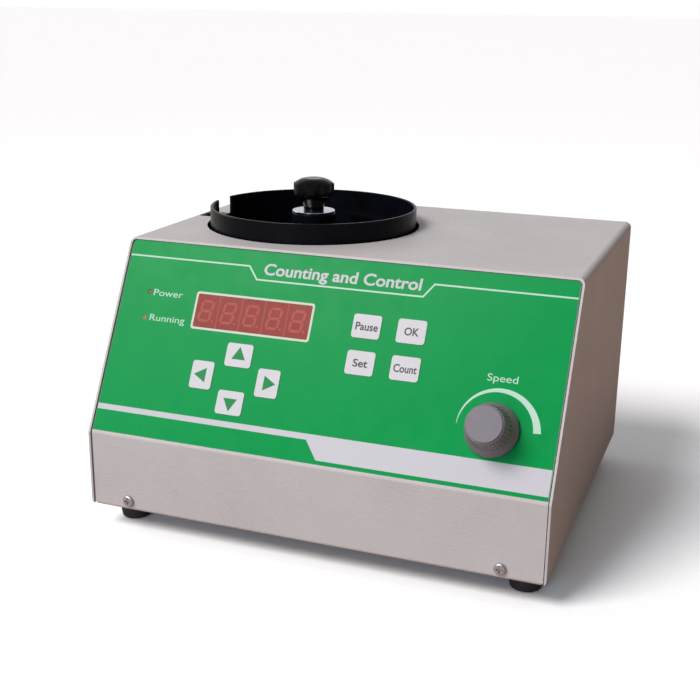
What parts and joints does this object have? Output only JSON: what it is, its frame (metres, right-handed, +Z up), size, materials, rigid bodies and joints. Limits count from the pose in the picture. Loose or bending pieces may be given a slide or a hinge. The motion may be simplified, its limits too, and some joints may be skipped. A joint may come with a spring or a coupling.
{
  "type": "electronic seed counter",
  "caption": "Bench-top electronic seed counter: sheet-metal case with a sloping green control panel, keys and speed knob, and a black vibratory bowl on top.",
  "frame": {"origin": "middle of the whole outline, on the surface that the feet stand on", "axes": "+X to the operator's right, +Y towards the back, +Z up"},
  "size_m": [0.336, 0.2868, 0.2285],
  "materials": {
    "case_paint": "fine-textured light grey powder coat",
    "zinc_sheet": "zinc-plated sheet",
    "screw_steel": "zinc-plated screws",
    "overlay_green": "printed polyester film, satin",
    "window_red": "tinted acrylic",
    "key_film": "printed light grey film",
    "lamp_lens": "diffuse lens, unlit",
    "knob_grey": "moulded grey plastic",
    "bowl_black": "black anodised",
    "knob_black": "moulded black phenolic",
    "washer_steel": "turned steel",
    "rubber_black": "moulded rubber",
    "black_plastic": "moulded black plastic",
    "board_green": "solder-masked fibreglass",
    "digit_grey": "moulded display modules",
    "cast_base": "painted casting",
    "spring_steel": "blued spring steel",
    "core_steel": "varnished laminations",
    "winding": "enamelled copper under tape",
    "turned_aluminium": "turned",
    "bright_steel": "machined"
  },
  "bodies": {
    "case": {"cover": "case_paint", "front_panel": "case_paint", "rear_panel": "case_paint", "base_plate": "zinc_sheet", "front_screws": "screw_steel", "rear_screws": "screw_steel", "base_screws": "screw_steel", "foot_screws": "screw_steel", "spout_screws": "screw_steel", "feet": "rubber_black", "panel_overlay": "overlay_green", "display_window": "window_red", "key_switches": "black_plastic", "display_board": "board_green", "digit_modules": "digit_grey", "indicator_leds": "lamp_lens", "panel_studs": "screw_steel", "board_nuts": "screw_steel", "pot_body": "black_plastic", "pot_nut": "screw_steel", "isolators": "rubber_black", "isolator_bolts": "screw_steel", "drive_base": "cast_base", "magnet_core": "core_steel", "magnet_coil": "winding", "leaf_springs": "spring_steel", "spring_clamps_lower": "bright_steel", "spring_bolts_lower": "screw_steel", "seed_chute": "black_plastic", "seed_sensors": "black_plastic", "outlet_spout": "black_plastic", "main_board": "board_green", "board_standoffs": "bright_steel", "board_components": "black_plastic", "transformer_core": "core_steel", "transformer_coil": "winding", "mains_inlet": "black_plastic", "power_switch": "black_plastic", "fuse_holder": "black_plastic"},
    "oscillator": {"top_block": "turned_aluminium", "armature": "bright_steel", "bowl_stud": "bright_steel", "spring_clamps_upper": "bright_steel", "spring_bolts_upper": "screw_steel"},
    "bowl": {"bowl": "bowl_black"},
    "washer": {"clamp_washer": "washer_steel"},
    "clamp_knob": {"bowl_knob": "knob_black"},
    "speed_control": {"pot_shaft": "bright_steel", "speed_knob": "knob_grey", "knob_cap": "knob_grey"},
    "rocker": {"power_rocker": "black_plastic"},
    "fuse_plug": {"fuse_cap": "black_plastic"},
    "key_up": {"key_up": "key_film"},
    "key_down": {"key_down": "key_film"},
    "key_left": {"key_left": "key_film"},
    "key_right": {"key_right": "key_film"},
    "key_pause": {"key_pause": "key_film"},
    "key_ok": {"key_ok": "key_film"},
    "key_set": {"key_set": "key_film"},
    "key_count": {"key_count": "key_film"}
  },
  "joints": [
    {"name": "bowl_vibration", "type": "hinge", "parent": "case", "child": "oscillator", "pos_m": [-0.0528, 0.0266, 0.094], "axis": [0, 0, 1], "range_deg": [-1, 1], "stiffness_Nm_per_rad": 60, "deforming": ["leaf_springs"]},
    {"name": "bowl_lift", "type": "slide", "parent": "oscillator", "child": "bowl", "axis": [0, 0, 1], "range_m": [0, 0.06]},
    {"name": "knob_rise", "type": "slide", "parent": "bowl", "child": "washer", "axis": [0, 0, 1], "range_m": [0, 0.0145]},
    {"name": "knob_turn", "type": "hinge", "parent": "washer", "child": "clamp_knob", "pos_m": [-0.0528, 0.0266, 0.221], "axis": [0, 0, 1], "range_deg": [0, 3960]},
    {"name": "speed_turn", "type": "hinge", "parent": "case", "child": "speed_control", "pos_m": [0.1252, -0.1211, 0.10709], "axis": [0, -0.8798, 0.4754], "range_deg": [-150, 150]},
    {"name": "power_rock", "type": "hinge", "parent": "case", "child": "rocker", "pos_m": [0.063, 0.1309, 0.056], "axis": [1, 0, 0], "range_deg": [0, 16]},
    {"name": "fuse_turn", "type": "hinge", "parent": "case", "child": "fuse_plug", "pos_m": [0.028, 0.1384, 0.056], "axis": [0, 1, 0], "range_deg": [0, 60]},
    {"name": "key_up_press", "type": "slide", "parent": "case", "child": "key_up", "axis": [0, 0.8798, -0.4754], "range_m": [0, 0.0004], "stiffness_N_per_m": 2000},
    {"name": "key_down_press", "type": "slide", "parent": "case", "child": "key_down", "axis": [0, 0.8798, -0.4754], "range_m": [0, 0.0004], "stiffness_N_per_m": 2000},
    {"name": "key_left_press", "type": "slide", "parent": "case", "child": "key_left", "axis": [0, 0.8798, -0.4754], "range_m": [0, 0.0004], "stiffness_N_per_m": 2000},
    {"name": "key_right_press", "type": "slide", "parent": "case", "child": "key_right", "axis": [0, 0.8798, -0.4754], "range_m": [0, 0.0004], "stiffness_N_per_m": 2000},
    {"name": "key_pause_press", "type": "slide", "parent": "case", "child": "key_pause", "axis": [0, 0.8798, -0.4754], "range_m": [0, 0.0004], "stiffness_N_per_m": 2000},
    {"name": "key_ok_press", "type": "slide", "parent": "case", "child": "key_ok", "axis": [0, 0.8798, -0.4754], "range_m": [0, 0.0004], "stiffness_N_per_m": 2000},
    {"name": "key_set_press", "type": "slide", "parent": "case", "child": "key_set", "axis": [0, 0.8798, -0.4754], "range_m": [0, 0.0004], "stiffness_N_per_m": 2000},
    {"name": "key_count_press", "type": "slide", "parent": "case", "child": "key_count", "axis": [0, 0.8798, -0.4754], "range_m": [0, 0.0004], "stiffness_N_per_m": 2000}
  ],
  "couplings": [
    {"joint": "knob_rise", "follows": "knob_turn", "m_per_rad": 0.00019894}
  ]
}
